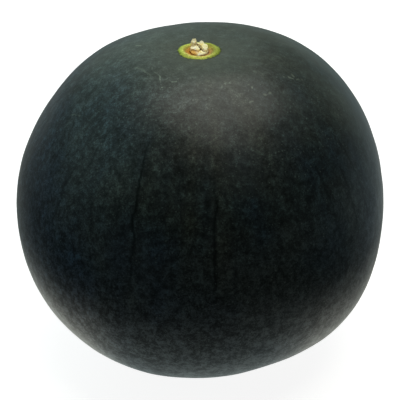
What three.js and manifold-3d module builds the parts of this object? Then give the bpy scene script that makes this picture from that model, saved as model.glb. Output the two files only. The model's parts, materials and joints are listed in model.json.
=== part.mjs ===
// A round black-rinded watermelon, as picked: the whole fruit with its stem scar on top, and the torn
// stub of the stem that still sits in the scar.
//
// Millimetres, +Z up. The fruit is shaped about the centre of its girth, then stood on its blossom end
// so that the origin is under the middle of its box, on the surface it rests on. -Y is its front.
import * as THREE from "three";
import { mergeVertices } from "three/addons/utils/BufferGeometryUtils.js";
import Module from "manifold-3d";

const wasm = await Module();
wasm.setup();

// ---- Driving dimensions -------------------------------------------------------------------------

// The fruit's body. Fullness 2 is an ellipse, and more is squarer.
const GIRTH_RADIUS = 104;
const CROWN_RISE = 104.5;
const CROWN_FULLNESS = 1.95;
const BASE_DROP = 87;
const BASE_FULLNESS = 2.2;
const BODY_STEPS = 36;
const SEGMENTS = 80;

// The crown is pressed in round the stem, and the blossom end has a small dimple.
const CROWN_DIP = { depth: 7, breadth: 33 };
const BLOSSOM_DIMPLE = { depth: 3, breadth: 6.5, reach: 15, steps: 6 };

// Broad lumps of the body: azimuth from +X towards +Y and elevation above the girth give where each
// one is centred, rise how far it stands out, and breadth how far it spreads, in degrees. They die
// out towards the axis, within about LUMP_FADE, so that the crown and the blossom end stay level.
const LUMP_FADE = 25;
const LUMPS = [
  { azimuth: 25, elevation: 43, rise: 6.2, breadth: 39 },
  { azimuth: 150, elevation: 47, rise: 2.4, breadth: 19 },
  { azimuth: 170, elevation: 9, rise: 1.8, breadth: 18 },
  { azimuth: 80, elevation: -15, rise: 2.2, breadth: 30 },
  { azimuth: -115, elevation: -48, rise: 3.6, breadth: 39 },
  { azimuth: -27, elevation: -33, rise: 4.1, breadth: 25 },
];

// The weight of the fruit presses its underside flat: the lowest part of the blossom end, as deep as
// this, is pushed up level.
const REST_FLAT_DEPTH = 0.8;

// The stem scar: a rounded collar of paler skin round a shallow corky basin, with a socket in its
// middle for the stub. Radii are from the stem's axis, and heights from the crown round the scar.
// Waves make the collar uneven: how many go round it, and how much they change its height or reach.
const COLLAR = { outer: 10.7, crest: 8.5, inner: 6.7, height: 1.1, steps: 9 };
const COLLAR_WAVES = [
  { count: 2, shift: 0.8, height: 0.12, reach: 0.08 },
  { count: 3, shift: 2.1, height: 0.12, reach: 0.02 },
  { count: 7, shift: 1.2, height: 0.1, reach: 0.012 },
];
const BASIN_DEPTH = 0.5;
const SOCKET = { radius: 4.9, depth: 2.4 };
const SOCKET_SIDES = 32;

// The stub of the stem: a short foot in the socket, with a sloping rim, and above it the chunks that
// the stem tore into, with clefts between them. Each chunk is an outline seen from above, and each of
// its corners is [x, y, top], with the top above the basin's floor. Roots spread out by a little.
const STUB_CLEARANCE = 0.35;
const STUB_FOOT = { rim: 0.15, rise: 0.75, slope: 0.8 };
const CHUNK_SPREAD = 1.06;
const CHUNKS = {
  backLeftPeak: [
    [-4.9, 1.7, 3.4],
    [-4.5, 3.0, 5.3],
    [-3.9, 3.9, 6.2],
    [-2.6, 4.2, 6.3],
    [-1.9, 3.3, 5.0],
    [-3.0, 2.0, 4.4],
  ],
  backRidge: [
    [-2.3, 2.6, 3.5],
    [-2.4, 4.1, 3.8],
    [-0.9, 4.7, 3.5],
    [0.3, 4.2, 3.7],
    [0.1, 2.6, 3.4],
  ],
  backPeak: [
    [0.0, 2.6, 3.6],
    [0.2, 4.3, 4.5],
    [1.2, 4.5, 5.0],
    [2.2, 4.1, 4.7],
    [2.9, 2.7, 3.7],
  ],
  rightBlock: [
    [-0.3, 2.4, 3.5],
    [2.7, 2.9, 3.8],
    [4.5, 1.8, 3.6],
    [4.9, -0.5, 3.1],
    [4.2, -2.0, 2.2],
    [2.8, -1.8, 2.3],
    [1.5, -0.5, 2.4],
    [0.5, 1.1, 3.0],
  ],
  leftBlock: [
    [-4.8, 1.2, 2.8],
    [-3.2, 1.5, 3.4],
    [-1.3, 2.2, 3.1],
    [-0.4, 1.2, 2.8],
    [0.5, -0.9, 2.2],
    [-0.8, -1.8, 1.8],
    [-2.9, -1.2, 2.4],
    [-4.8, -0.7, 2.1],
  ],
  frontShelf: [
    [-0.3, -2.2, 1.6],
    [1.1, -1.1, 2.0],
    [2.4, -2.3, 1.5],
    [3.7, -2.6, 1.4],
    [2.7, -4.1, 1.0],
    [0.8, -4.7, 1.1],
    [-0.5, -4.2, 1.3],
  ],
  frontLeftShelf: [
    [-4.7, -1.1, 1.5],
    [-2.9, -1.6, 2.0],
    [-0.9, -2.3, 1.5],
    [-1.0, -4.4, 1.2],
    [-2.7, -4.2, 1.3],
    [-4.2, -2.8, 1.1],
  ],
};

// ---- Small tools --------------------------------------------------------------------------------

const radians = THREE.MathUtils.degToRad;
const bell = (x, breadth) => Math.exp(-((x / breadth) ** 2));

// A closed geometry as a manifold-3d solid.
function solidFrom(geometry) {
  const bare = geometry.clone().deleteAttribute("normal").deleteAttribute("uv");
  const merged = mergeVertices(bare, 1e-3);
  return new wasm.Manifold(
    new wasm.Mesh({
      numProp: 3,
      vertProperties: merged.attributes.position.array,
      triVerts: new Uint32Array(merged.index.array),
    }),
  );
}

// A manifold-3d solid as a geometry that three.js can draw.
function geometryFrom(solid) {
  const { vertProperties, triVerts } = solid.getMesh();
  const geometry = new THREE.BufferGeometry();
  geometry.setAttribute("position", new THREE.BufferAttribute(vertProperties, 3));
  geometry.setIndex(new THREE.BufferAttribute(triVerts, 1));
  geometry.computeVertexNormals();
  return geometry;
}

function mesh(name, solid, material) {
  const made = new THREE.Mesh(geometryFrom(solid), material);
  made.name = name;
  return made;
}

// ---- The fruit ----------------------------------------------------------------------------------

// A point of the body's outline, with the angle up from the girth: x is the radius and y the height.
function outlinePoint(angle) {
  const [reach, fullness] =
    angle >= 0 ? [CROWN_RISE, CROWN_FULLNESS] : [BASE_DROP, BASE_FULLNESS];
  const across = Math.abs(Math.cos(angle) / GIRTH_RADIUS) ** fullness;
  const along = Math.abs(Math.sin(angle) / reach) ** fullness;
  const length = (across + along) ** (-1 / fullness);
  return new THREE.Vector2(length * Math.cos(angle), length * Math.sin(angle));
}

// The height of the body at a radius near the axis, on the crown (side 1) or the blossom end (-1).
function bodyHeight(radius, side) {
  const [reach, fullness] =
    side > 0 ? [CROWN_RISE, CROWN_FULLNESS] : [BASE_DROP, BASE_FULLNESS];
  return side * reach * (1 - (radius / GIRTH_RADIUS) ** fullness) ** (1 / fullness);
}

// The collar's rounded ridge, and the basin inside it.
function scarRelief(x, y) {
  const azimuth = Math.atan2(y, x);
  let [height, reach] = [1, 1];
  for (const wave of COLLAR_WAVES) {
    height += wave.height * Math.sin(wave.count * azimuth + wave.shift);
    reach += wave.reach * Math.sin(wave.count * azimuth + 2 * wave.shift);
  }
  const radius = Math.hypot(x, y) / reach;
  const { outer, crest, inner } = COLLAR;
  const crestHeight = COLLAR.height * height;
  if (radius >= outer) return 0;
  if (radius <= inner) return -BASIN_DEPTH;
  if (radius >= crest) {
    return crestHeight * Math.sin(((outer - radius) / (outer - crest)) * (Math.PI / 2));
  }
  const share = Math.sin(((radius - inner) / (crest - inner)) * (Math.PI / 2));
  return THREE.MathUtils.lerp(-BASIN_DEPTH, crestHeight, share);
}

// The outline from the blossom end up to the crown, with no scar yet.
function bodyProfile() {
  const points = [];
  const { reach, steps } = BLOSSOM_DIMPLE;
  for (let i = 0; i < steps; i++) {
    const radius = (reach * i) / steps;
    points.push(new THREE.Vector2(radius, bodyHeight(radius, -1)));
  }
  const lowest = -Math.acos(reach / BASE_DROP);
  const crownEdge = 1.6 * COLLAR.outer;
  const highest = Math.acos(crownEdge / CROWN_RISE);
  for (let i = 0; i <= BODY_STEPS; i++) {
    points.push(outlinePoint(THREE.MathUtils.lerp(lowest, highest, i / BODY_STEPS)));
  }
  const scarEdge = 1.15 * COLLAR.outer;
  for (let i = 0; i <= COLLAR.steps; i++) {
    const radius = THREE.MathUtils.lerp(scarEdge, SOCKET.radius + 1, i / COLLAR.steps);
    points.push(new THREE.Vector2(radius, bodyHeight(radius, 1)));
  }
  points.push(new THREE.Vector2(0, CROWN_RISE));

  for (const point of points) {
    const crown = point.y > 0;
    const { depth, breadth } = crown ? CROWN_DIP : BLOSSOM_DIMPLE;
    point.y += (crown ? -depth : depth) * bell(point.x, breadth);
  }
  return points;
}

function raiseScar(geometry) {
  const place = geometry.attributes.position;
  for (let i = 0; i < place.count; i++) {
    if (place.getZ(i) <= 0) continue;
    place.setZ(i, place.getZ(i) + scarRelief(place.getX(i), place.getY(i)));
  }
}

function raiseLumps(geometry) {
  const centres = LUMPS.map(({ azimuth, elevation }) =>
    new THREE.Vector3().setFromSphericalCoords(1, radians(90 - elevation), radians(azimuth)),
  ).map(({ x, y, z }) => new THREE.Vector3(z, x, y));
  const place = geometry.attributes.position;
  const point = new THREE.Vector3();
  for (let i = 0; i < place.count; i++) {
    point.fromBufferAttribute(place, i);
    const kept = 1 - bell(Math.hypot(point.x, point.y), LUMP_FADE);
    let growth = 1;
    LUMPS.forEach(({ rise, breadth }, k) => {
      const share = bell(point.angleTo(centres[k]), radians(breadth));
      growth += (kept * share * rise) / GIRTH_RADIUS;
    });
    point.multiplyScalar(growth);
    place.setXYZ(i, point.x, point.y, point.z);
  }
}

function pressFlat(geometry, groundHeight) {
  const place = geometry.attributes.position;
  for (let i = 0; i < place.count; i++) {
    place.setZ(i, Math.max(place.getZ(i), groundHeight));
  }
}

function makeFruit(scarHeight, groundHeight) {
  const body = new THREE.LatheGeometry(bodyProfile(), SEGMENTS);
  body.rotateX(Math.PI / 2);
  raiseScar(body);
  raiseLumps(body);
  pressFlat(body, groundHeight);

  const socketHeight = 4 * SOCKET.depth;
  const socket = new THREE.CylinderGeometry(
    SOCKET.radius,
    SOCKET.radius,
    socketHeight,
    SOCKET_SIDES,
  );
  socket.rotateX(Math.PI / 2);
  socket.translate(0, 0, scarHeight - SOCKET.depth + socketHeight / 2);

  return solidFrom(body).subtract(solidFrom(socket));
}

// ---- The stub of the stem -----------------------------------------------------------------------

// One torn chunk: its outline raised from a spread root to a top that slants from corner to corner.
function makeChunk(corners) {
  const outline = new THREE.Shape(corners.map(([x, y]) => new THREE.Vector2(x, y)));
  const geometry = new THREE.ExtrudeGeometry(outline, { depth: 1, bevelEnabled: false });
  const [middleX, middleY] = [0, 1].map(
    (axis) => corners.reduce((sum, corner) => sum + corner[axis], 0) / corners.length,
  );
  const place = geometry.attributes.position;
  for (let i = 0; i < place.count; i++) {
    const [x, y] = [place.getX(i), place.getY(i)];
    if (place.getZ(i) > 0) {
      const corner = corners.find(([cx, cy]) => Math.hypot(x - cx, y - cy) < 1e-3);
      place.setZ(i, corner[2]);
    } else {
      const spreadX = middleX + CHUNK_SPREAD * (x - middleX);
      const spreadY = middleY + CHUNK_SPREAD * (y - middleY);
      place.setXYZ(i, spreadX, spreadY, STUB_CLEARANCE);
    }
  }
  return solidFrom(geometry);
}

function makeStub() {
  const footRadius = SOCKET.radius - STUB_CLEARANCE;
  const footBottom = STUB_CLEARANCE - SOCKET.depth;
  const { rim, rise, slope } = STUB_FOOT;
  const foot = new THREE.LatheGeometry(
    [
      new THREE.Vector2(0, footBottom),
      new THREE.Vector2(footRadius, footBottom),
      new THREE.Vector2(footRadius, rim),
      new THREE.Vector2(footRadius - slope, rise),
      new THREE.Vector2(0, rise),
    ],
    SOCKET_SIDES,
  );
  foot.rotateX(Math.PI / 2);
  return Object.values(CHUNKS)
    .map(makeChunk)
    .reduce((stub, chunk) => stub.add(chunk), solidFrom(foot));
}

// ---- Assembly -----------------------------------------------------------------------------------

const rind = new THREE.MeshStandardMaterial({ color: 0x1c2625, roughness: 0.42, metalness: 0 });
const cork = new THREE.MeshStandardMaterial({ color: 0xe2d6a0, roughness: 0.9, metalness: 0 });

const scarHeight = CROWN_RISE - CROWN_DIP.depth - BASIN_DEPTH;
const groundHeight = REST_FLAT_DEPTH - BASE_DROP;
const fruit = mesh("fruit", makeFruit(scarHeight, groundHeight), rind);
const stub = mesh("stem_stub", makeStub(), cork);
stub.position.z = scarHeight;

const watermelon = new THREE.Group();
const standing = new THREE.Group();
standing.add(fruit, stub);
watermelon.add(standing);

// Stand it on the ground, with the middle of its box over the origin.
const middle = new THREE.Box3().setFromObject(fruit, true).getCenter(new THREE.Vector3());
standing.position.set(-middle.x, -middle.y, -groundHeight);

export default watermelon;
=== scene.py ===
import json
import math
from functools import partial

import bpy
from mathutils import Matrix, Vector
from mathutils.bvhtree import BVHTree
from mathutils.geometry import intersect_point_line

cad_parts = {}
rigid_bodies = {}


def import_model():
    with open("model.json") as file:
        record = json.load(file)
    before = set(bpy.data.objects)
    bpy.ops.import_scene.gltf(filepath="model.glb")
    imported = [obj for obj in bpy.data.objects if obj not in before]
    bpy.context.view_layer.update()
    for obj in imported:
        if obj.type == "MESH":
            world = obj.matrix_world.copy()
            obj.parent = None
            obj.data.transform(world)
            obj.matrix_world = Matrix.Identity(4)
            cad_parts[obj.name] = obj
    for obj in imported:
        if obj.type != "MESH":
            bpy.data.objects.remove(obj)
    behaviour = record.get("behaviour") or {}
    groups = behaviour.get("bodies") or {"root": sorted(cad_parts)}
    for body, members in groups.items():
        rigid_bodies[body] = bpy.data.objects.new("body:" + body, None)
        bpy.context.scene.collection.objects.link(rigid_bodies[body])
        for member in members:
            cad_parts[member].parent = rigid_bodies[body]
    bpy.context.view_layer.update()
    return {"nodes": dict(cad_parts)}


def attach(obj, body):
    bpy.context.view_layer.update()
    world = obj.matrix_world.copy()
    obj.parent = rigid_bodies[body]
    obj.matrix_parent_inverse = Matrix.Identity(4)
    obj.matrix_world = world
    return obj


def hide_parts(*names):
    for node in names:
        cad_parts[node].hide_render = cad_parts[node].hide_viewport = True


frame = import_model()

MM = 0.001

# ---- Sizes the looks are built from --------------------------------------------------------------

# The stub's round foot reaches this far below the floor of the scar's basin.
FOOT_DEPTH = 2.05 * MM

# Height of the fruit's widest girth above the surface it rests on, and how far from the middle of
# the girth the skin is.
GIRTH_HEIGHT = 86.2 * MM
FRUIT_RADIUS = 102 * MM

# The corky basin of the scar, and how many times as long as a circle's the radii of the collar
# round it are, towards the sides, the back and the front. The solid's collar is as far at the front
# as at the back, and the looks draw it forward.
BASIN_RADIUS = 6.7 * MM
SCAR_ASIDE = 1.08
SCAR_BACK = 0.92
SCAR_FRONT = 1.03


def stem_foot():
    """The point on the stem's axis at the height of the basin's floor, from the stub's foot."""
    points = [vertex.co for vertex in frame["nodes"]["stem_stub"].data.vertices]
    lowest = min(point.z for point in points)
    foot = [point for point in points if point.z < lowest + 0.01 * MM]
    middle = [(min(values) + max(values)) / 2 for values in zip(*foot)]
    return Vector((middle[0], middle[1], lowest + FOOT_DEPTH))


SCAR = stem_foot()
GIRTH_CENTRE = Vector((SCAR.x, SCAR.y, GIRTH_HEIGHT))

# ---- Modelling tools -----------------------------------------------------------------------------


def select_only(piece):
    """Makes one piece the only selected one, and the active one."""
    bpy.ops.object.select_all(action="DESELECT")
    piece.select_set(True)
    bpy.context.view_layer.objects.active = piece


def merged_copy(node, name):
    """A copy of a CAD node's mesh, its loose triangles merged and paired into four-sided faces."""
    piece = bpy.data.objects.new(name, frame["nodes"][node].data.copy())
    bpy.context.collection.objects.link(piece)
    piece.data.materials.clear()
    select_only(piece)
    bpy.ops.mesh.customdata_custom_splitnormals_clear()
    bpy.ops.object.mode_set(mode="EDIT")
    bpy.ops.mesh.select_all(action="SELECT")
    bpy.ops.mesh.remove_doubles(threshold=0.002 * MM)
    bpy.ops.mesh.tris_convert_to_quads(
        face_threshold=math.radians(40), shape_threshold=math.radians(60)
    )
    bpy.ops.mesh.select_all(action="DESELECT")
    bpy.ops.object.mode_set(mode="OBJECT")
    return piece


def modify(piece, kind, **settings):
    """Adds one modifier to a piece, and applies it."""
    select_only(piece)
    modifier = piece.modifiers.new(kind.lower(), kind)
    for name, value in settings.items():
        setattr(modifier, name, value)
    bpy.ops.object.modifier_apply(modifier=modifier.name)


def group_by_place(piece, name, share):
    """A vertex group whose weights come from share, a function of a vertex's place."""
    group = piece.vertex_groups.new(name=name)
    for vertex in piece.data.vertices:
        weight = share(vertex.co)
        if weight > 0:
            group.add([vertex.index], min(weight, 1), "REPLACE")
    return group.name


def roughen(piece, kind, size, depth, middle=0.5, group="", stretch=None, **settings):
    """Moves the surface in and out along its normals by a texture whose features have that size."""
    texture = bpy.data.textures.new(piece.name + "_relief", kind)
    texture.noise_scale = size
    for name, value in settings.items():
        setattr(texture, name, value)
    guide = None
    if stretch:
        guide = bpy.data.objects.new(piece.name + "_guide", None)
        guide.scale = stretch
        bpy.context.collection.objects.link(guide)
        bpy.context.view_layer.update()
    modify(
        piece,
        "DISPLACE",
        texture=texture,
        texture_coords="OBJECT" if guide else "LOCAL",
        texture_coords_object=guide,
        strength=depth,
        mid_level=middle,
        vertex_group=group,
    )
    if guide:
        bpy.data.objects.remove(guide)
    bpy.data.textures.remove(texture)


def ring_distance(place):
    """How far a place is from the stem's axis, with the collar's oval drawn in to a circle."""
    along = place.y - SCAR.y
    return math.hypot((place.x - SCAR.x) / SCAR_ASIDE, max(along / SCAR_BACK, along / SCAR_FRONT))


def ease(low, high, value):
    """0 below low, 1 above high, and a smooth rise between them."""
    share = min(max((value - low) / (high - low), 0), 1)
    return share * share * (3 - 2 * share)


# ---- The fruit -----------------------------------------------------------------------------------

# The looks draw the collar's front forward. By distance from the stem's axis: between which two
# that sets in, and between which two it fades out again into the crown.
DRAWN_INSIDE = (5.2 * MM, 7 * MM)
DRAWN_OUTSIDE = (11 * MM, 18 * MM)

# Where the open skin's unevenness sets in: outwards from the stem's axis, and up from the ground.
SKIN_FROM_STEM = (12 * MM, 26 * MM)
SKIN_FROM_GROUND = (0, 9 * MM)

# The wrinkled collar: between which distances from the stem's axis it sets in and fades out.
COLLAR_INSIDE = (6.0 * MM, 7.5 * MM)
COLLAR_OUTSIDE = (10.5 * MM, 13 * MM)

# How far outside the basin, and how far below its floor, its roughness reaches.
BASIN_FADE = 1.2 * MM
BASIN_BELOW = 0.4 * MM


def make_fruit():
    """The whole fruit: the solid's shape made smooth, with the slight unevenness of growth."""
    fruit = merged_copy("fruit", "melon")
    modify(fruit, "SUBSURF", levels=2, render_levels=2)
    for vertex in fruit.data.vertices:
        forward = SCAR.y - vertex.co.y
        distance = math.hypot(vertex.co.x - SCAR.x, forward)
        on_collar = ease(*DRAWN_INSIDE, distance) * (1 - ease(*DRAWN_OUTSIDE, distance))
        if forward > 0 and vertex.co.z > GIRTH_HEIGHT:
            vertex.co.y -= forward * (SCAR_FRONT / SCAR_BACK - 1) * on_collar

    def open_skin(place):
        if place.z > GIRTH_HEIGHT:
            return ease(*SKIN_FROM_STEM, ring_distance(place))
        return ease(*SKIN_FROM_GROUND, place.z)

    def collar(place):
        distance = ring_distance(place)
        ring = ease(*COLLAR_INSIDE, distance) * (1 - ease(*COLLAR_OUTSIDE, distance))
        return ring if place.z > GIRTH_HEIGHT else 0

    def basin(place):
        floor = 1 - ease(BASIN_RADIUS, BASIN_RADIUS + BASIN_FADE, ring_distance(place))
        return floor if place.z > SCAR.z - BASIN_BELOW else 0

    skin_group = group_by_place(fruit, "open_skin", open_skin)
    collar_group = group_by_place(fruit, "collar", collar)
    basin_group = group_by_place(fruit, "basin", basin)
    roughen(fruit, "CLOUDS", size=38 * MM, depth=0.9 * MM, middle=0.54, group=skin_group)
    roughen(fruit, "CLOUDS", size=11 * MM, depth=0.16 * MM, group=skin_group)
    roughen(fruit, "CLOUDS", size=2.6 * MM, depth=0.5 * MM, group=collar_group)
    roughen(fruit, "CLOUDS", size=0.9 * MM, depth=0.2 * MM, group=collar_group)
    roughen(fruit, "STUCCI", size=0.8 * MM, depth=0.5 * MM, middle=0.4, group=basin_group)
    bpy.ops.object.shade_smooth()
    return fruit


# ---- The stub of the stem ------------------------------------------------------------------------

# The stub is remeshed with the first voxels before it is torn, and with the second ones after.
WHOLE_VOXEL = 0.1 * MM
TORN_VOXEL = 0.09 * MM

# How torn it is, by height above the basin's floor: between which two heights that sets in, and
# between which two it lessens again on the peaks, and by what share.
TORN_FROM = (0.3 * MM, 1.6 * MM)
CALMER_FROM = (3.4 * MM, 5 * MM)
CALMER_BY = 0.6

# The stub's front is lower, in full this far in front of the stem's axis, and leans back, in full
# this far above the basin's floor: the shares of the height and of the reach that it loses.
FRONT_LOWERED = 0.22
LOWERED_AT = 3 * MM
FRONT_LEANING = 0.1
LEANING_AT = 1 * MM

# The deep crack between the torn halves: its course seen from above, from the stem's axis, with how
# wide it is at each point as a share of its full width, the distances from its middle where it is
# deepest and where it ends, and the share of the stub's height that it takes away.
CRACK = [
    (-1.3 * MM, 3.3 * MM, 0.5),
    (-0.15 * MM, 2.2 * MM, 0.8),
    (0.6 * MM, 1.1 * MM, 1.1),
    (1.0 * MM, 0, 1.0),
    (1.7 * MM, -0.8 * MM, 0.8),
    (3.0 * MM, -2.0 * MM, 0.3),
]
CRACK_HEART = 0.38 * MM
CRACK_EDGE = 0.65 * MM
CRACK_DEPTH = 0.6

# The left peak is torn open towards the right: its left side, from the stem's axis, its width, the
# share that it spreads by, and the heights between which it spreads.
PEAK_LEFT = -4.7 * MM
PEAK_WIDTH = 3 * MM
PEAK_SPREAD = 0.3
PEAK_LOW = 2.8 * MM
PEAK_HIGH = 4.4 * MM

# How far a cleft's walls may be from a point for its colour to be darkened there as painted shade,
# how many ways they are looked for, and how far above the surface each look starts. A lean of just
# over 1 turns each look outwards.
CLEFT_REACH = 1.1 * MM
CLEFT_RAYS = 24
CLEFT_START = 0.05 * MM
CLEFT_LEAN = 1.02


def crack_share(place):
    """How near a place is to the crack's middle, from 0 to 1."""
    flat = Vector((place.x - SCAR.x, place.y - SCAR.y))
    nearest = CRACK_EDGE
    for start, end in zip(CRACK, CRACK[1:]):
        share = intersect_point_line(flat, start[:2], end[:2])[1]
        x, y, width = Vector(start).lerp(end, min(max(share, 0), 1))
        nearest = min(nearest, math.hypot(flat.x - x, flat.y - y) / width)
    return 1 - ease(CRACK_HEART, CRACK_EDGE, nearest)


def paint_cleft_shade(stub):
    """Writes how shut in each vertex is by the chunks round it, or how near the crack's middle it
    is, as an attribute that sets how much painted shade the cork's colour gets there."""
    tree = BVHTree.FromObject(stub, bpy.context.evaluated_depsgraph_get())
    golden_turn = math.pi * (3 - math.sqrt(5))
    rays = []
    for number in range(CLEFT_RAYS):
        rise = 1 - 2 * (number + 0.5) / CLEFT_RAYS
        level = math.sqrt(1 - rise * rise)
        turn = number * golden_turn
        rays.append(Vector((level * math.cos(turn), level * math.sin(turn), rise)))
    cleft_shade = stub.data.attributes.new("cleft_shade", "FLOAT", "POINT")
    for vertex in stub.data.vertices:
        start = vertex.co + CLEFT_START * vertex.normal
        hits = 0
        for ray in rays:
            way = (ray + CLEFT_LEAN * vertex.normal).normalized()
            hits += tree.ray_cast(start, way, CLEFT_REACH)[0] is not None
        cleft_shade.data[vertex.index].value = max(hits / CLEFT_RAYS, crack_share(vertex.co))


def drop_crumbs(piece):
    """Deletes what came loose from a piece: all that isn't joined to its lowest point."""
    select_only(piece)
    bpy.ops.object.mode_set(mode="EDIT")
    bpy.ops.mesh.select_all(action="DESELECT")
    bpy.ops.object.mode_set(mode="OBJECT")
    min(piece.data.vertices, key=lambda vertex: vertex.co.z).select = True
    bpy.ops.object.mode_set(mode="EDIT")
    bpy.ops.mesh.select_linked()
    bpy.ops.mesh.select_all(action="INVERT")
    bpy.ops.mesh.delete(type="VERT")
    bpy.ops.object.mode_set(mode="OBJECT")


def make_stub():
    """The torn stub: the solid's chunks with a lower front, a torn-open left peak and a deep crack,
    made fibrous and ragged."""
    stub = merged_copy("stem_stub", "torn_stub")
    modify(stub, "REMESH", mode="VOXEL", voxel_size=WHOLE_VOXEL)
    modify(stub, "SMOOTH", factor=0.5, iterations=2)

    def torn(place):
        rise = place.z - SCAR.z
        return ease(*TORN_FROM, rise) * (1 - CALMER_BY * ease(*CALMER_FROM, rise))

    for vertex in stub.data.vertices:
        rise = vertex.co.z - SCAR.z
        forward = SCAR.y - vertex.co.y
        if rise > 0 and forward > 0:
            vertex.co.z -= rise * FRONT_LOWERED * ease(0, LOWERED_AT, forward)
            vertex.co.y += forward * FRONT_LEANING * ease(0, LEANING_AT, rise)
        rightward = vertex.co.x - SCAR.x - PEAK_LEFT
        if rightward < PEAK_WIDTH and rise > 0 > forward:
            vertex.co.x += rightward * PEAK_SPREAD * ease(PEAK_LOW, PEAK_HIGH, rise)
        if rise > 0:
            vertex.co.z -= (vertex.co.z - SCAR.z) * CRACK_DEPTH * crack_share(vertex.co)

    torn_group = group_by_place(stub, "torn", torn)
    roughen(stub, "CLOUDS", size=1.3 * MM, depth=0.4 * MM, group=torn_group)
    roughen(
        stub,
        "VORONOI",
        size=1.3 * MM,
        depth=0.35 * MM,
        group=torn_group,
        stretch=(1, 1, 2),
        weight_1=-1,
        weight_2=1,
    )
    roughen(stub, "CLOUDS", size=0.45 * MM, depth=0.3 * MM, group=torn_group, stretch=(1, 1, 5))
    modify(stub, "REMESH", mode="VOXEL", voxel_size=TORN_VOXEL)
    modify(stub, "SMOOTH", factor=0.5, iterations=1)
    drop_crumbs(stub)
    paint_cleft_shade(stub)
    bpy.ops.object.shade_smooth()
    return stub


# ---- Materials -----------------------------------------------------------------------------------


def linear(code):
    """An sRGB colour such as "#1c2625" as the linear values of a colour socket."""
    values = [int(code[start : start + 2], 16) / 255 for start in (1, 3, 5)]
    return (*[v / 12.92 if v <= 0.04045 else ((v + 0.055) / 1.055) ** 2.4 for v in values], 1)


def feed(tree, node, inputs):
    """Sets a node's inputs, by name or number, to values, or links them to what feeds them: an
    output, or a node, whose first output does."""
    for socket, value in inputs.items():
        if isinstance(value, bpy.types.Node):
            value = next(output for output in value.outputs if output.enabled)
        if isinstance(value, bpy.types.NodeSocket):
            tree.links.new(value, node.inputs[socket])
        else:
            node.inputs[socket].default_value = value


def add_node(tree, kind, inputs=None, stops=None, **settings):
    """Adds a node with its settings and inputs. stops are a ramp's places and colours."""
    node = tree.nodes.new(kind)
    for name, value in settings.items():
        setattr(node, name, value)
    feed(tree, node, inputs or {})
    for number, (place, colour) in enumerate(stops or ()):
        elements = node.color_ramp.elements
        element = elements[number] if number < 2 else elements.new(place)
        element.position = place
        element.color = linear(colour)
    return node


def new_material(name):
    """An empty node material: the function that adds its nodes, the one that feeds its shader, and
    the object's coordinates."""
    material = bpy.data.materials.new(name)
    material.use_nodes = True
    tree = material.node_tree
    node = partial(add_node, tree)
    shade = partial(feed, tree, tree.nodes["Principled BSDF"])
    return material, node, shade, node("ShaderNodeTexCoord").outputs["Object"]


# Sizes of the rind's patterns. The grain's is that of its coarsest speckles, which get finer by
# halves several times over.
TONE_SIZE = 38 * MM
GRAIN_SIZE = 5 * MM
SPECK_SPACING = 1.7 * MM
DUST_SIZE = 24 * MM
FINE_RELIEF = 0.1 * MM

# The grain multiplies the skin's brightness by e to a power: the power at the two ends of its
# noise, and how much less of it there is to the right.
GRAIN_RANGE = (-5.1, 4.9)
GRAIN_RIGHTWARD = -0.25

# The skin turns bluer by the first, times the square of how far it faces aside, and browner towards
# the second. This tint by facing is painted light: it stands in for cool light on the sides and
# warm light from above.
BLUER_ASIDE = -0.28
BROWNER_TOWARD = (0.09, 0, 0.09)

# The share of the skin that the bloom of wax covers, on average, and what is left of it in a vein.
WAX_COVER = 0.55
WAX_IN_VEINS = 0.3

# How scuffed the wax is, low down and high up: the direction that it grows in, and how scuffed it
# is level with the girth's middle. The larger of the two counts.
SCUFFED_LOW = (-0.1, 0, -1.7)
LOW_SCUFFS = 1.35
SCUFFED_HIGH = (-0.25, 0, -0.2)
HIGH_SCUFFS = 0.6

# Broad stripes and fine streaks run along the meridians: their widths, in radii of the fruit, and
# how many times as long as wide they are.
STRIPE_WIDTH = 1 / 7
STREAK_WIDTH = 1 / 26
STREAK_STRETCH = 9

# Dark hairline veins on the front: azimuth from the front towards the right, its change for each
# degree upwards, the elevations above the girth that each runs between, and how dark it is. A vein
# wanders within so many degrees, fades out from this share of its half length on, and is at least
# this share of its full darkness where it is patchy.
VEIN_WIDTH = math.radians(0.85)
VEIN_WANDER = 3.2
VEIN_WHOLE = 0.6
VEIN_FAINTEST = 0.55
VEINS = [
    (-21.0, -0.05, 3, 52, 1.0),
    (4.9, 0.05, 2, 39, 0.9),
    (3.1, 0.0, 26, 34, 0.5),
    (-50.0, 0.1, 16, 38, 0.6),
    (-43.0, 0.2, 30, 52, 0.5),
    (46.0, -0.1, 12, 40, 0.5),
    (56.0, 0.0, 6, 34, 0.45),
    (63.0, -0.05, 10, 38, 0.4),
]

# A pale mark is full up to the first share of its radius, and ends at the second, where a dusty
# patch ends too. Its edge is ragged by this share of the fruit's radius.
MARK_FULL = 0.3
MARK_END = 1.4
MARK_RAGGEDNESS = 0.02

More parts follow.
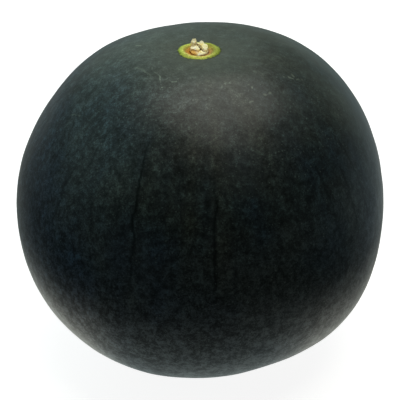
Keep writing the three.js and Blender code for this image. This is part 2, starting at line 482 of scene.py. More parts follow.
# Pale spots: chalky marks, and, in the broad highlight, painted glints of small bumps. For each:
# azimuth, elevation, radius, and how pale.
CHALK_AND_GLINT_SPOTS = [
    (-95.3, 62.0, 0.5 * MM, 0.8),
    (-59.3, 75.6, 0.4 * MM, 0.9),
    (-46.7, 69.2, 0.5 * MM, 0.4),
    (-32.3, 68.2, 0.4 * MM, 0.8),
    (-28.1, 66.3, 0.5 * MM, 0.8),
    (-22.8, 67.1, 0.5 * MM, 0.5),
    (-19.2, 71.0, 0.4 * MM, 0.9),
    (17.2, 67.1, 0.6 * MM, 0.4),
    (20.8, 68.1, 0.6 * MM, 0.8),
    (24.6, 68.1, 0.6 * MM, 0.8),
    (36.8, 65.5, 0.5 * MM, 0.4),
    (37.5, 64.3, 0.6 * MM, 0.9),
    (41.4, 60.4, 0.8 * MM, 0.6),
    (45.0, 60.1, 0.7 * MM, 0.5),
    (63.4, 61.6, 0.5 * MM, 0.4),
    (71.6, 57.0, 0.6 * MM, 0.35),
    (6.5, 5.3, 0.6 * MM, 0.15),
    (9.4, 7.1, 0.6 * MM, 0.12),
    (11.1, 2.7, 0.6 * MM, 0.18),
    (16.7, -2.0, 0.7 * MM, 0.3),
    (18.0, 3.4, 0.6 * MM, 0.2),
]

# Pale scratches and cracks in the wax: the azimuth and elevation of each end, half the width, and
# how pale.
SCRATCHES = [
    ((-107.0, 69.3), (-105.9, 70.9), 0.5 * MM, 1.0),
    ((-68.4, 45.0), (-62.8, 46.5), 0.5 * MM, 0.3),
    ((-64.9, 69.0), (-56.9, 69.7), 0.9 * MM, 0.3),
    ((-56.9, 69.7), (-46.2, 69.3), 0.6 * MM, 0.35),
    ((-54.0, 72.2), (-50.4, 71.4), 0.4 * MM, 0.5),
    ((-45.5, 71.2), (-38.2, 70.6), 0.4 * MM, 0.35),
    ((-38.2, 70.6), (-33.6, 69.0), 0.45 * MM, 0.9),
    ((-23.3, 69.3), (-20.2, 69.8), 0.45 * MM, 0.8),
    ((30.2, 59.8), (32.0, 59.7), 0.5 * MM, 0.5),
    ((66.2, 60.6), (67.4, 59.4), 0.5 * MM, 0.5),
    ((70.0, 60.4), (69.4, 59.6), 0.5 * MM, 0.4),
    ((67.8, 58.4), (70.2, 58.0), 0.4 * MM, 0.35),
    ((6.6, 20.4), (5.9, 5.2), 1.3 * MM, 0.035),
    ((23.1, -2.0), (23.9, -1.4), 0.6 * MM, 0.25),
    ((27.7, -8.5), (29.3, -8.4), 0.6 * MM, 0.35),
]

# How thick dust and wax lie at most: in the broad patches all round, and in the named ones. These
# are the named ones: azimuth, elevation and radius. Some of them are painted light, not dust: among
# them those beside and below the broad highlight, and the one low on the front's left.
BROAD_DUST = 0.8
PATCH_DUST_AND_LIGHT = 0.9
DUST_AND_LIGHT_PATCHES = [
    (27, -9, 17 * MM),
    (14, -22, 20 * MM),
    (-22, 12, 22 * MM),
    (53, 51, 12 * MM),
    (16, 41, 14 * MM),
    (-50, 30, 22 * MM),
    (84, 8, 32 * MM),
]


def toward(azimuth, elevation):
    """The direction at an azimuth from the front and an elevation above the girth, in degrees."""
    turn, rise = math.radians(azimuth), math.radians(elevation)
    return Vector(
        (math.sin(turn) * math.cos(rise), -math.cos(turn) * math.cos(rise), math.sin(rise))
    )


def hairline_veins(node, compass, direction, place):
    """How strong the dark hairline veins are at a point, from 0 to 1."""
    wander = node("ShaderNodeTexNoise", {"Vector": place, "Scale": 1 / (9 * MM), "Detail": 3})
    east = node("ShaderNodeSeparateXYZ", {0: compass})
    height = node("ShaderNodeSeparateXYZ", {0: direction})
    elevation = node("ShaderNodeMath", {0: height.outputs["Z"]}, operation="ARCSINE")
    front = node("ShaderNodeMath", {0: east.outputs["Y"], 1: -1}, operation="MULTIPLY")
    turn = node("ShaderNodeMath", {0: east.outputs["X"], 1: front}, operation="ARCTAN2")
    azimuth = node(
        "ShaderNodeMath",
        {0: wander, 1: math.radians(VEIN_WANDER), 2: turn},
        operation="MULTIPLY_ADD",
    )
    strongest = 0
    for middle, lean, low, high, strength in VEINS:
        heart = math.radians((low + high) / 2)
        half = math.radians((high - low) / 2)
        above = node("ShaderNodeMath", {0: elevation, 1: heart}, operation="SUBTRACT")
        away = node("ShaderNodeMath", {0: above}, operation="ABSOLUTE")
        ends = node(
            "ShaderNodeMapRange", {0: away, 1: VEIN_WHOLE * half, 2: half, 3: strength, 4: 0}
        )
        course = node(
            "ShaderNodeMath",
            {0: above, 1: lean, 2: math.radians(middle + VEIN_WANDER / 2)},
            operation="MULTIPLY_ADD",
        )
        aside = node("ShaderNodeMath", {0: azimuth, 1: course}, operation="SUBTRACT")
        off = node("ShaderNodeMath", {0: aside}, operation="ABSOLUTE")
        vein = node("ShaderNodeMapRange", {0: off, 1: 0, 2: VEIN_WIDTH, 3: ends, 4: 0})
        strongest = node("ShaderNodeMath", {0: strongest, 1: vein}, operation="MAXIMUM")
    patchy = node("ShaderNodeTexNoise", {"Vector": place, "Scale": 1 / (5 * MM), "Detail": 2})
    kept = node("ShaderNodeMapRange", {0: patchy, 1: 0.3, 2: 0.5, 3: VEIN_FAINTEST, 4: 1})
    return node("ShaderNodeMath", {0: strongest, 1: kept}, operation="MULTIPLY")


def pale_marks(node, direction, place):
    """How pale the spots and scratches make a point, from 0 to 1. The spots in the broad highlight
    are painted glints.
    """
    ragged = node("ShaderNodeTexNoise", {"Vector": place, "Scale": 1 / (2.5 * MM), "Detail": 3})
    middle = Vector((0.5, 0.5, 0.5))
    wander = node(
        "ShaderNodeVectorMath", {0: ragged.outputs["Color"], 1: middle}, operation="SUBTRACT"
    )
    shift = node(
        "ShaderNodeVectorMath",
        {0: wander, 1: (MARK_RAGGEDNESS,) * 3, 2: direction},
        operation="MULTIPLY_ADD",
    )
    marks = []
    for azimuth, elevation, radius, paleness in CHALK_AND_GLINT_SPOTS:
        off = node(
            "ShaderNodeVectorMath", {0: shift, 1: toward(azimuth, elevation)}, operation="DISTANCE"
        )
        marks.append((off, radius, paleness))
    for start, end, radius, paleness in SCRATCHES:
        course = toward(*end) - toward(*start)
        ahead = node("ShaderNodeVectorMath", {0: shift, 1: toward(*start)}, operation="SUBTRACT")
        share = node(
            "ShaderNodeVectorMath",
            {0: ahead, 1: course / course.length_squared},
            operation="DOT_PRODUCT",
        )
        within = node("ShaderNodeClamp", {0: share})
        nearest = node("ShaderNodeVectorMath", {0: course, "Scale": within}, operation="SCALE")
        off = node("ShaderNodeVectorMath", {0: ahead, 1: nearest}, operation="DISTANCE")
        marks.append((off, radius, paleness))
    palest = 0
    for off, radius, paleness in marks:
        reach = radius / FRUIT_RADIUS
        mark = node(
            "ShaderNodeMapRange",
            {0: off, 1: MARK_FULL * reach, 2: MARK_END * reach, 3: paleness, 4: 0},
        )
        palest = node("ShaderNodeMath", {0: palest, 1: mark}, operation="MAXIMUM")
    return palest


def dust_and_painted_light(node, direction, place):
    """How thick dust and wax lie at a point, from 0 to 1: in broad patches all round, and where
    the named patches are, some of which are painted light."""
    broad = node("ShaderNodeTexNoise", {"Vector": place, "Scale": 1 / DUST_SIZE, "Detail": 4})
    thickest = node("ShaderNodeMapRange", {0: broad, 1: 0.5, 2: 0.8, 3: 0, 4: BROAD_DUST})
    for azimuth, elevation, radius in DUST_AND_LIGHT_PATCHES:
        off = node(
            "ShaderNodeVectorMath",
            {0: direction, 1: toward(azimuth, elevation)},
            operation="DISTANCE",
        )
        reach = MARK_END * (radius / FRUIT_RADIUS)
        patch = node("ShaderNodeMapRange", {0: off, 1: 0, 2: reach, 3: PATCH_DUST_AND_LIGHT, 4: 0})
        thickest = node("ShaderNodeMath", {0: thickest, 1: patch}, operation="MAXIMUM")
    grainy = node("ShaderNodeTexNoise", {"Vector": place, "Scale": 1 / (2.2 * MM), "Detail": 4})
    share = node("ShaderNodeMapRange", {0: grainy, 1: 0.3, 2: 0.75, 3: 0.2, 4: 1})
    return node("ShaderNodeMath", {0: thickest, 1: share}, operation="MULTIPLY")


# How much the edges between the scar's colours are frayed, and between which distances from the
# stem's axis those colours are spread.
SCAR_FRAY = 1.8 * MM
SCAR_SPREAD = (0.9 * MM, 14.9 * MM)

# Between which distances from the stem's axis the crown's brown fades out, how strong it is, and
# where the edge of the corky button at the blossom end is.
BROWN_FADE = (11 * MM, 44 * MM)
BROWN_SHARE = 0.6
BUTTON_EDGE = (3.4 * MM, 4.6 * MM)

# The scar's colours from the stub outwards, on its left, right and front: where each one is, as the
# share of the way along SCAR_SPREAD.
COLLAR_COLOURS = {
    "left": [
        (0.30, "#6a3a14"),
        (0.38, "#c4822a"),
        (0.47, "#bf8c46"),
        (0.52, "#b2a24e"),
        (0.60, "#d0d666"),
        (0.69, "#b6c656"),
        (0.75, "#869836"),
        (0.79, "#3c4a24"),
    ],
    # On the right, the basin's tan is painted lighter, partly as painted light against the shadow
    # that the stub casts there.
    "right": [
        (0.28, "#5a3c1c"),
        (0.36, "#a87a44"),
        (0.43, "#b8955a"),
        (0.48, "#a49448"),
        (0.60, "#aab24e"),
        (0.69, "#9ca846"),
        (0.75, "#74832c"),
        (0.79, "#35431f"),
    ],
    "front": [
        (0.30, "#5c3a18"),
        (0.42, "#96702c"),
        (0.53, "#a8863c"),
        (0.58, "#e2c470"),
        (0.64, "#eae07e"),
        (0.71, "#d2d862"),
        (0.76, "#a0ac46"),
        (0.80, "#4c5a2a"),
    ],
}


def waxy_rind():
    """Rind of a black watermelon: a skin of so dark a green that it looks black, under a thin bloom
    of natural wax. The eye gets one broad soft highlight, a fine pale grain like dust on slate,
    hairline veins along the meridians, and a pale haze at the edges, where the wax is seen
    aslant."""
    material, node, shade, place = new_material("waxy_rind")

    centred = node("ShaderNodeVectorMath", {0: place, 1: GIRTH_CENTRE}, operation="SUBTRACT")
    direction = node("ShaderNodeVectorMath", {0: centred}, operation="NORMALIZE")
    level = node("ShaderNodeVectorMath", {0: direction, 1: (1, 1, 0)}, operation="MULTIPLY")
    compass = node("ShaderNodeVectorMath", {0: level}, operation="NORMALIZE")
    upward = node(
        "ShaderNodeVectorMath", {0: direction, 1: (0, 0, 1 / STREAK_STRETCH)}, operation="MULTIPLY"
    )
    meridian = node("ShaderNodeVectorMath", {0: compass, 1: upward}, operation="ADD")

    # The skin's colour, from blue-black through slate to brown-black. It is painted bluer on the
    # sides, and most on the left, and browner towards the crown, as cool side light and warm light
    # from above
    # would tint it: painted light.
    broad = node("ShaderNodeTexNoise", {"Vector": place, "Scale": 1 / TONE_SIZE, "Detail": 2})
    stripe = node(
        "ShaderNodeTexNoise", {"Vector": meridian, "Scale": 1 / STRIPE_WIDTH, "Detail": 2}
    )
    patchy = node("ShaderNodeMix", {0: 0.4, 2: broad, 3: stripe})
    bearing = node("ShaderNodeSeparateXYZ", {0: direction})
    sideways = node("ShaderNodeMath", {0: bearing.outputs["X"], 1: 2}, operation="POWER")
    sided = node(
        "ShaderNodeMath", {0: sideways, 1: BLUER_ASIDE, 2: patchy}, operation="MULTIPLY_ADD"
    )
    leaning = node(
        "ShaderNodeVectorMath", {0: direction, 1: BROWNER_TOWARD}, operation="DOT_PRODUCT"
    )
    shaded = node("ShaderNodeMath", {0: leaning, 1: sided}, operation="ADD")
    skin = node(
        "ShaderNodeValToRGB",
        {0: shaded},
        stops=[(0.24, "#061e2c"), (0.5, "#162222"), (0.76, "#1f241a")],
    )

    # Speckles of every size from the grain's down, and faint streaks along the meridians.
    grain = node(
        "ShaderNodeTexNoise",
        {"Vector": place, "Scale": 1 / GRAIN_SIZE, "Detail": 5, "Roughness": 1},
    )
    streak = node(
        "ShaderNodeTexNoise",
        {"Vector": meridian, "Scale": 1 / STREAK_WIDTH, "Detail": 3, "Roughness": 0.6},
    )
    lines = node("ShaderNodeMath", {0: streak, 1: stripe}, operation="ADD")
    streaky = node("ShaderNodeMapRange", {0: lines, 1: 0.6, 2: 1.4, 3: 0.8, 4: 1.2})
    veins = hairline_veins(node, compass, direction, place)
    spared = node("ShaderNodeMapRange", {0: veins, 3: streaky, 4: 0.2})
    contrast = node(
        "ShaderNodeMapRange", {0: grain, 3: GRAIN_RANGE[0], 4: GRAIN_RANGE[1]}, clamp=False
    )
    leftwards = node(
        "ShaderNodeMath",
        {0: bearing.outputs["X"], 1: GRAIN_RIGHTWARD, 2: 1},
        operation="MULTIPLY_ADD",
    )
    graded = node("ShaderNodeMath", {0: contrast, 1: leftwards}, operation="MULTIPLY")
    speckle = node("ShaderNodeMath", {0: graded}, operation="EXPONENT")
    light = node("ShaderNodeMath", {0: speckle, 1: spared}, operation="MULTIPLY")
    mottled = node(
        "ShaderNodeMix", {0: 1, 6: skin, 7: light}, data_type="RGBA", blend_type="MULTIPLY"
    )

    # Tiny pale pores, of which some are missing, and the pale marks: chalky ones, and painted
    # glints in the broad highlight.
    pores = node("ShaderNodeTexVoronoi", {"Vector": place, "Scale": 1 / SPECK_SPACING})
    chosen = node("ShaderNodeSeparateXYZ", {0: pores.outputs["Color"]})
    size = node("ShaderNodeMapRange", {0: chosen.outputs["X"], 1: 0.35, 2: 1, 3: 0.03, 4: 0.34})
    pore = node("ShaderNodeMapRange", {0: pores, 1: size, 2: 0.02, 3: 0, 4: 0.8})
    marks = pale_marks(node, direction, place)
    pale = node("ShaderNodeMath", {0: pore, 1: marks}, operation="MAXIMUM")
    dotted = node("ShaderNodeMix", {0: pore, 6: mottled, 7: linear("#56645e")}, data_type="RGBA")
    marked = node("ShaderNodeMix", {0: marks, 6: dotted, 7: linear("#727e72")}, data_type="RGBA")

    # Paler where dust lies, and where the named patches paint light on the skin.
    dust_and_light = dust_and_painted_light(node, direction, place)
    dust_and_light_veil = node("ShaderNodeMath", {0: dust_and_light, 1: 0.2}, operation="MULTIPLY")
    waxed = node("ShaderNodeMix", {0: dust_and_light_veil, 6: marked, 7: linear("#4e5a60")}, data_type="RGBA")

    # The scar, by distance from the stem's axis: brown basin, lime collar, olive edge, rind.
    ovals = []
    for reach in (SCAR_BACK, SCAR_FRONT):
        shrink = Vector((1 / SCAR_ASIDE, 1 / reach, 0))
        placed = {"Vector": place, "Scale": shrink, "Location": -SCAR * shrink}
        ovals.append(node("ShaderNodeMapping", placed))
    flat = node("ShaderNodeVectorMath", {0: ovals[0], 1: ovals[1]}, operation="MAXIMUM")
    ring = node("ShaderNodeVectorMath", {0: flat}, operation="LENGTH")
    fray = node("ShaderNodeTexNoise", {"Vector": place, "Scale": 1 / (1.6 * MM), "Detail": 4})
    frayed = node("ShaderNodeMath", {0: fray, 1: SCAR_FRAY, 2: ring}, operation="MULTIPLY_ADD")
    outward = node("ShaderNodeMapRange", {0: frayed, 1: SCAR_SPREAD[0], 2: SCAR_SPREAD[1]})
    collar = {}
    for side, colours in COLLAR_COLOURS.items():
        collar[side] = node("ShaderNodeValToRGB", {0: outward}, stops=colours)
    across = node("ShaderNodeSeparateXYZ", {0: flat})
    rightward = node("ShaderNodeMapRange", {0: across.outputs["X"], 1: -4 * MM, 2: 3 * MM})
    sides = node(
        "ShaderNodeMix", {0: rightward, 6: collar["left"], 7: collar["right"]}, data_type="RGBA"
    )
    mostly = node(
        "ShaderNodeMapRange", {0: across.outputs["X"], 1: 2 * MM, 2: 9 * MM, 3: 1, 4: 0.2}
    )
    forward = node(
        "ShaderNodeMapRange", {0: across.outputs["Y"], 1: -3 * MM, 2: -7 * MM, 4: mostly}
    )
    scar = node("ShaderNodeMix", {0: forward, 6: sides, 7: collar["front"]}, data_type="RGBA")
    fleck = node("ShaderNodeTexNoise", {"Vector": place, "Scale": 1 / (0.9 * MM), "Detail": 3})
    flecked = node("ShaderNodeMapRange", {0: fleck, 1: 0.3, 2: 0.7, 3: 0.7, 4: 1.3})
    scar_colour = node(
        "ShaderNodeMix", {0: 1, 6: scar, 7: flecked}, data_type="RGBA", blend_type="MULTIPLY"
    )
    height = node("ShaderNodeSeparateXYZ", {0: centred})
    on_crown = node("ShaderNodeMath", {0: height.outputs["Z"], 1: 0}, operation="GREATER_THAN")
    in_scar = node("ShaderNodeMapRange", {0: outward, 1: 0.76, 2: 0.8, 3: on_crown, 4: 0})
    near_scar = node(
        "ShaderNodeMapRange", {0: ring, 1: BROWN_FADE[0], 2: BROWN_FADE[1], 3: on_crown, 4: 0}
    )
    warmth = node("ShaderNodeMath", {0: near_scar, 1: BROWN_SHARE}, operation="MULTIPLY")
    crown = node("ShaderNodeMix", {0: warmth, 6: waxed, 7: linear("#33301b")}, data_type="RGBA")
    topped = node("ShaderNodeMix", {0: in_scar, 6: crown, 7: scar_colour}, data_type="RGBA")

    # The blossom end underneath: a small corky button.
    under = node("ShaderNodeMath", {0: 1, 1: on_crown}, operation="SUBTRACT")
    button = node(
        "ShaderNodeMapRange", {0: frayed, 1: BUTTON_EDGE[0], 2: BUTTON_EDGE[1], 3: under, 4: 0}
    )
    colour = node("ShaderNodeMix", {0: button, 6: topped, 7: linear("#7d6a45")}, data_type="RGBA")

    # The skin under the wax is dull where dust, pores, pale marks or cork are, and in the named
    # patches that are painted light.
    dulled = node("ShaderNodeMath", {0: dust_and_light, 1: pale}, operation="MAXIMUM")
    thick = node("ShaderNodeMath", {0: dulled, 1: 0.06, 2: grain}, operation="MULTIPLY_ADD")
    skin_gloss = node("ShaderNodeMapRange", {0: thick, 1: 0.36, 2: 0.64, 3: 0.3, 4: 0.5})
    corky = node("ShaderNodeMath", {0: in_scar, 1: button}, operation="MAXIMUM")
    gloss = node("ShaderNodeMapRange", {0: corky, 3: skin_gloss, 4: 0.75})

    # The wax lies in flecks, thin along the veins, and there is none on the cork. It is even on the
    # crown, and most scuffed low down and on the left.
    low = node("ShaderNodeVectorMath", {0: direction, 1: SCUFFED_LOW}, operation="DOT_PRODUCT")
    high = node("ShaderNodeVectorMath", {0: direction, 1: SCUFFED_HIGH}, operation="DOT_PRODUCT")
    scuffed_low = node("ShaderNodeMath", {0: low, 1: LOW_SCUFFS}, operation="ADD")
    scuffed_high = node("ShaderNodeMath", {0: high, 1: HIGH_SCUFFS}, operation="ADD")
    scuffed = node("ShaderNodeMath", {0: scuffed_low, 1: scuffed_high}, operation="MAXIMUM")
    flecks = node("ShaderNodeMath", {0: light, 1: scuffed}, operation="POWER")
    thinned = node("ShaderNodeMapRange", {0: veins, 3: WAX_COVER, 4: WAX_IN_VEINS * WAX_COVER})
    bare = node("ShaderNodeMapRange", {0: corky, 3: thinned, 4: 0})
    wax = node("ShaderNodeMath", {0: flecks, 1: bare}, operation="MULTIPLY", use_clamp=True)

    # The skin's fine unevenness, and the coarser grain of the cork.
    relief = node(
        "ShaderNodeTexNoise",
        {"Vector": place, "Scale": 1 / GRAIN_SIZE, "Detail": 5, "Roughness": 0.56},
    )
    skin_bump = node(
        "ShaderNodeBump", {"Height": relief, "Strength": 1, "Distance": FINE_RELIEF}
    )
    crumbs = node("ShaderNodeMath", {0: fleck, 1: corky}, operation="MULTIPLY")
    bump = node(
        "ShaderNodeBump",
        {"Height": crumbs, "Strength": 1, "Distance": 0.25 * MM, "Normal": skin_bump},
    )
    shade(
        {
            "Base Color": colour,
            "Roughness": gloss,
            "Normal": bump,
            "Coat Normal": bump,
            "IOR": 1.45,
            "Specular IOR Level": 0.18,
            "Coat Weight": wax,
            "Coat Roughness": 0.39,
            "Coat IOR": 1.5,
            "Sheen Weight": 0.25,
            "Sheen Roughness": 0.3,
        }
    )
    return material


# A patch of old bark on the stub: its middle from the basin's floor, and where its edge is.
BARK_MIDDLE = Vector((-3.4, -2.6, 0.6)) * MM
BARK_EDGE = (2.4 * MM, 4.2 * MM)


def torn_cork():
    """Dried melon stem, torn off: matt and fibrous, cream where it tore, tan where the old bark is
    left, and painted dark brown down in the clefts and the crack, as painted shade."""
    material, node, shade, place = new_material("torn_cork")
    patches = node("ShaderNodeTexNoise", {"Vector": place, "Scale": 1 / (1.8 * MM), "Detail": 3})
    cream = node(
        "ShaderNodeValToRGB",
        {0: patches},
        stops=[(0.3, "#f8e296"), (0.5, "#fff4c2"), (0.7, "#fffdea")],
    )
    off = node("ShaderNodeVectorMath", {0: place, 1: SCAR + BARK_MIDDLE}, operation="DISTANCE")
    frayed = node("ShaderNodeMath", {0: patches, 1: 1.6 * MM, 2: off}, operation="MULTIPLY_ADD")
    bark = node(
        "ShaderNodeMapRange", {0: frayed, 1: BARK_EDGE[0], 2: BARK_EDGE[1], 3: 1, 4: 0}
    )
    tanned = node("ShaderNodeMix", {0: bark, 6: cream, 7: linear("#e0ad58")}, data_type="RGBA")
    # Painted shade: the clefts and the crack are painted darker brown, the more shut in they are.
    cleft_shade = node("ShaderNodeAttribute", attribute_name="cleft_shade").outputs["Fac"]
    cleft_shade_colour = node(
        "ShaderNodeValToRGB",
        {0: cleft_shade},
        stops=[(0.38, "#ffffff"), (0.6, "#dfb876"), (0.8, "#34300e")],
    )
    sunk = node(
        "ShaderNodeMix", {0: 1, 6: tanned, 7: cleft_shade_colour}, data_type="RGBA", blend_type="MULTIPLY"
    )
    upright = node("ShaderNodeMapping", {"Vector": place, "Scale": (1, 1, 0.2)})
    fibres = node(
        "ShaderNodeTexNoise", {"Vector": upright, "Scale": 1 / (0.35 * MM), "Detail": 3}
    )
    light = node("ShaderNodeMapRange", {0: fibres, 1: 0.3, 2: 0.7, 3: 0.9, 4: 1.1})
    colour = node(
        "ShaderNodeMix", {0: 1, 6: sunk, 7: light}, data_type="RGBA", blend_type="MULTIPLY"
    )
    bump = node("ShaderNodeBump", {"Height": fibres, "Strength": 1, "Distance": 0.12 * MM})
    shade({"Base Color": colour, "Roughness": 0.85, "Normal": bump})
    return material


# ---- Stage, lights and camera --------------------------------------------------------------------

CAMERA_LENS = 129.15
CAMERA_DISTANCE = 828 * MM
CAMERA_ELEVATION = math.radians(31.3)
CAMERA_AIM_UP = 2.6 * MM
CAMERA_AIM_RIGHT = 0.4 * MM


def make_camera():
    """The camera, in front of the fruit and looking down on it."""
    back = Vector((0, -math.cos(CAMERA_ELEVATION), math.sin(CAMERA_ELEVATION)))
    up = Vector((0, math.sin(CAMERA_ELEVATION), math.cos(CAMERA_ELEVATION)))
    aim = GIRTH_CENTRE + up * CAMERA_AIM_UP + Vector((CAMERA_AIM_RIGHT, 0, 0))
    camera = bpy.data.objects.new("camera", bpy.data.cameras.new("camera"))
    bpy.context.collection.objects.link(camera)
    camera.data.lens = CAMERA_LENS
    camera.data.clip_start = 10 * MM
    camera.data.clip_end = 100
    camera.location = aim + back * CAMERA_DISTANCE
    camera.rotation_euler = back.to_track_quat("Z", "Y").to_euler()
    bpy.context.scene.camera = camera


# How bright the floor looks in the rind, by distance from the fruit's middle in metres, towards the
# front, the left, the right, the right and back, and the back. It is bright close by, as a sheet of
# white board is, and darker in front, where the fruit's own shadow falls.
GLOW_REACH = 2
GLOWS = {
    "front": [
        (0, 0.1),
        (0.06, 0.48),
        (0.1, 0.4),
        (0.14, 0.36),
        (0.19, 0.18),
        (0.28, 0.06),
        (2, 0.2),
    ],
    "left": [
        (0, 0.1),
        (0.06, 1),
        (0.105, 1),
        (0.14, 0.58),
        (0.19, 0.1),
        (0.4, 0.04),
        (0.9, 0.16),
        (2, 0.35),
    ],
    "right": [
        (0, 0.1),
        (0.06, 0.8),
        (0.105, 0.8),
        (0.14, 0.46),
        (0.19, 0.06),
        (0.3, 0.03),
        (0.6, 0.1),
        (2, 0.3),
    ],
    "right_back": [
        (0, 0.1),
        (0.06, 0.8),
        (0.105, 0.8),
        (0.14, 0.5),
        (0.19, 0.14),
        (0.25, 0.26),
        (0.5, 0.24),
        (2, 0.3),
    ],
    "back": [
        (0, 0.1),
        (0.06, 1),
        (0.105, 1),
        (0.14, 0.58),
        (0.19, 0.1),
        (0.4, 0.04),
        (1, 0.12),
        (2, 0.3),
    ],
}

# Where one glow passes into the next, by the X or the Y of the direction from the fruit's middle.
LEFT_TO_RIGHT = (-0.3, 0.3)
RIGHT_TO_RIGHT_BACK = (-0.1, 0.3)
SIDES_TO_BACK = (0.9, 0.96)
FRONT_TO_SIDES = (-0.85, -0.55)

# Between which distances in metres the glow turns from cream to pale blue, but for the front's.
CREAM_TO_BLUE = (0.14, 0.22)


def make_floor():
    """A floor that is plain and pale to the camera. All else, and so the rind, meets a glow in its
    place that differs by distance and side."""
    bpy.ops.object.select_all(action="DESELECT")
    bpy.ops.mesh.primitive_circle_add(vertices=96, radius=12, fill_type="NGON")
    floor = bpy.context.object
    floor.name = "floor"
    material, node, shade, place = new_material("pale_floor")
    shade(
        {
            "Base Color": linear("#b0b0b0"),
            "Roughness": 0.9,
            "Emission Color": linear("#ffffff"),
            "Emission Strength": 0.9,
        }
    )
    distance = node("ShaderNodeVectorMath", {0: place}, operation="LENGTH")
    glow = {}
    share = node("ShaderNodeMapRange", {0: distance, 2: GLOW_REACH})
    for side, table in GLOWS.items():
        glow[side] = node("ShaderNodeFloatCurve", {"Value": share})
        points = glow[side].mapping.curves[0].points
        points[1].location = (1, table[-1][1])
        points[0].location = table[0]
        for reach, brightness in table[1:-1]:
            points.new(reach / GLOW_REACH, brightness)
        for point in points:
            point.handle_type = "VECTOR"
        glow[side].mapping.update()
    bearing = node("ShaderNodeVectorMath", {0: place}, operation="NORMALIZE")
    ahead = node("ShaderNodeSeparateXYZ", {0: bearing})
    rightwards = node(
        "ShaderNodeMapRange",
        {0: ahead.outputs["X"], 1: LEFT_TO_RIGHT[0], 2: LEFT_TO_RIGHT[1]},
    )
    past = node(
        "ShaderNodeMapRange",
        {0: ahead.outputs["Y"], 1: RIGHT_TO_RIGHT_BACK[0], 2: RIGHT_TO_RIGHT_BACK[1]},
    )
    right = node("ShaderNodeMix", {0: past, 2: glow["right"], 3: glow["right_back"]})
    sides = node("ShaderNodeMix", {0: rightwards, 2: glow["left"], 3: right})
    backwards = node(
        "ShaderNodeMapRange",
        {0: ahead.outputs["Y"], 1: SIDES_TO_BACK[0], 2: SIDES_TO_BACK[1]},
    )
    behind = node("ShaderNodeMix", {0: backwards, 2: sides, 3: glow["back"]})
    aside = node(
        "ShaderNodeMapRange",
        {0: ahead.outputs["Y"], 1: FRONT_TO_SIDES[0], 2: FRONT_TO_SIDES[1]},
    )
    strength = node("ShaderNodeMix", {0: aside, 2: glow["front"], 3: behind})
    faraway = node(
        "ShaderNodeMapRange", {0: distance, 1: CREAM_TO_BLUE[0], 2: CREAM_TO_BLUE[1]}
    )
    cooler = node(
        "ShaderNodeMix", {0: faraway, 6: linear("#fbfff4"), 7: linear("#dcf8ff")}, data_type="RGBA"
    )
    tint = node("ShaderNodeMix", {0: aside, 6: linear("#eefffd"), 7: cooler}, data_type="RGBA")
    mirrored = node("ShaderNodeEmission", {"Color": tint, "Strength": strength})
    seen = node("ShaderNodeLightPath").outputs["Is Camera Ray"]
    nodes = material.node_tree.nodes
    mix = node("ShaderNodeMixShader", {0: seen, 1: mirrored, 2: nodes["Principled BSDF"]})
    feed(material.node_tree, nodes["Material Output"], {"Surface": mix})
    floor.data.materials.append(material)


def make_world():
    """A pale backdrop for the camera, and a dim studio for all else."""
    world = bpy.data.worlds.new("studio")
    bpy.context.scene.world = world
    world.use_nodes = True
    tree = world.node_tree
    seen = add_node(tree, "ShaderNodeLightPath").outputs["Is Camera Ray"]
    backdrop = add_node(tree, "ShaderNodeBackground", {"Color": linear("#f4f4f4"), "Strength": 1})
    studio = tree.nodes["Background"]
    feed(tree, studio, {"Color": (0.03, 0.025, 0.03, 1)})
    mix = add_node(tree, "ShaderNodeMixShader", {0: seen, 1: studio, 2: backdrop})
    feed(tree, tree.nodes["World Output"], {"Surface": mix})


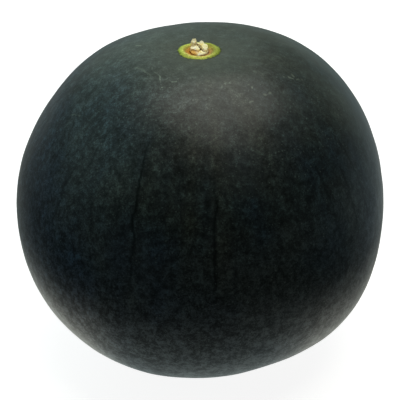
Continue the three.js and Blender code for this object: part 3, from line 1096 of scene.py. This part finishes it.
def add_softbox(name, azimuth, elevation, distance, size, radiance, colour):
    """A softbox that faces the fruit, at an azimuth from the front towards the right, in degrees.
    Radiance 1 is a white that just fills the picture."""
    away = toward(azimuth, elevation)
    light = bpy.data.lights.new(name, "AREA")
    light.shape = "RECTANGLE"
    light.size, light.size_y = size
    light.energy = radiance * math.pi * size[0] * size[1]
    light.color = linear(colour)[:3]
    softbox = bpy.data.objects.new(name, light)
    bpy.context.collection.objects.link(softbox)
    softbox.location = GIRTH_CENTRE + away * distance
    softbox.rotation_euler = away.to_track_quat("Z", "Y").to_euler()
    softbox.visible_camera = False


# The narrow spot on the stub: how far off it is, its radius where it falls, how far above the
# basin's floor it aims, the share of it that fades out at its edge, and the size of its lamp.
SPOT_DISTANCE = 600 * MM
SPOT_RADIUS = 6 * MM
SPOT_AIM_UP = 2.5 * MM
SPOT_FADE = 0.6
SPOT_LAMP = 2 * MM


def add_stem_spot(azimuth, elevation, power):
    """A narrow spot on the torn stub, which also reaches the basin and a little of the collar. It
    is hard, unlike the softboxes."""
    light = bpy.data.lights.new("stem_spot", "SPOT")
    light.energy = power
    light.spot_size = 2 * math.atan(SPOT_RADIUS / SPOT_DISTANCE)
    light.spot_blend = SPOT_FADE
    light.shadow_soft_size = SPOT_LAMP
    spot = bpy.data.objects.new("stem_spot", light)
    bpy.context.collection.objects.link(spot)
    away = toward(azimuth, elevation)
    spot.location = SCAR + Vector((0, 0, SPOT_AIM_UP)) + away * SPOT_DISTANCE
    spot.rotation_euler = away.to_track_quat("Z", "Y").to_euler()


make_camera()
make_floor()
make_world()
add_softbox(
    "overhead",
    azimuth=138,
    elevation=80,
    distance=1.3,
    size=(1.25, 1.15),
    radiance=2.75,
    colour="#fdfff2",
)
add_softbox(
    "left_fill",
    azimuth=236,
    elevation=42,
    distance=1.6,
    size=(4.1, 1.54),
    radiance=0.53,
    colour="#d5fef8",
)
add_softbox(
    "back_panel",
    azimuth=167,
    elevation=26,
    distance=1.7,
    size=(3.4, 2.7),
    radiance=0.28,
    colour="#ebffe9",
)
add_stem_spot(azimuth=-10, elevation=40, power=2.4)
bpy.context.scene.view_settings.view_transform = "Standard"

melon = make_fruit()
melon.data.materials.append(waxy_rind())
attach(melon, "root")
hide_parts("fruit")

torn_stub = make_stub()
torn_stub.data.materials.append(torn_cork())
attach(torn_stub, "root")
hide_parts("stem_stub")
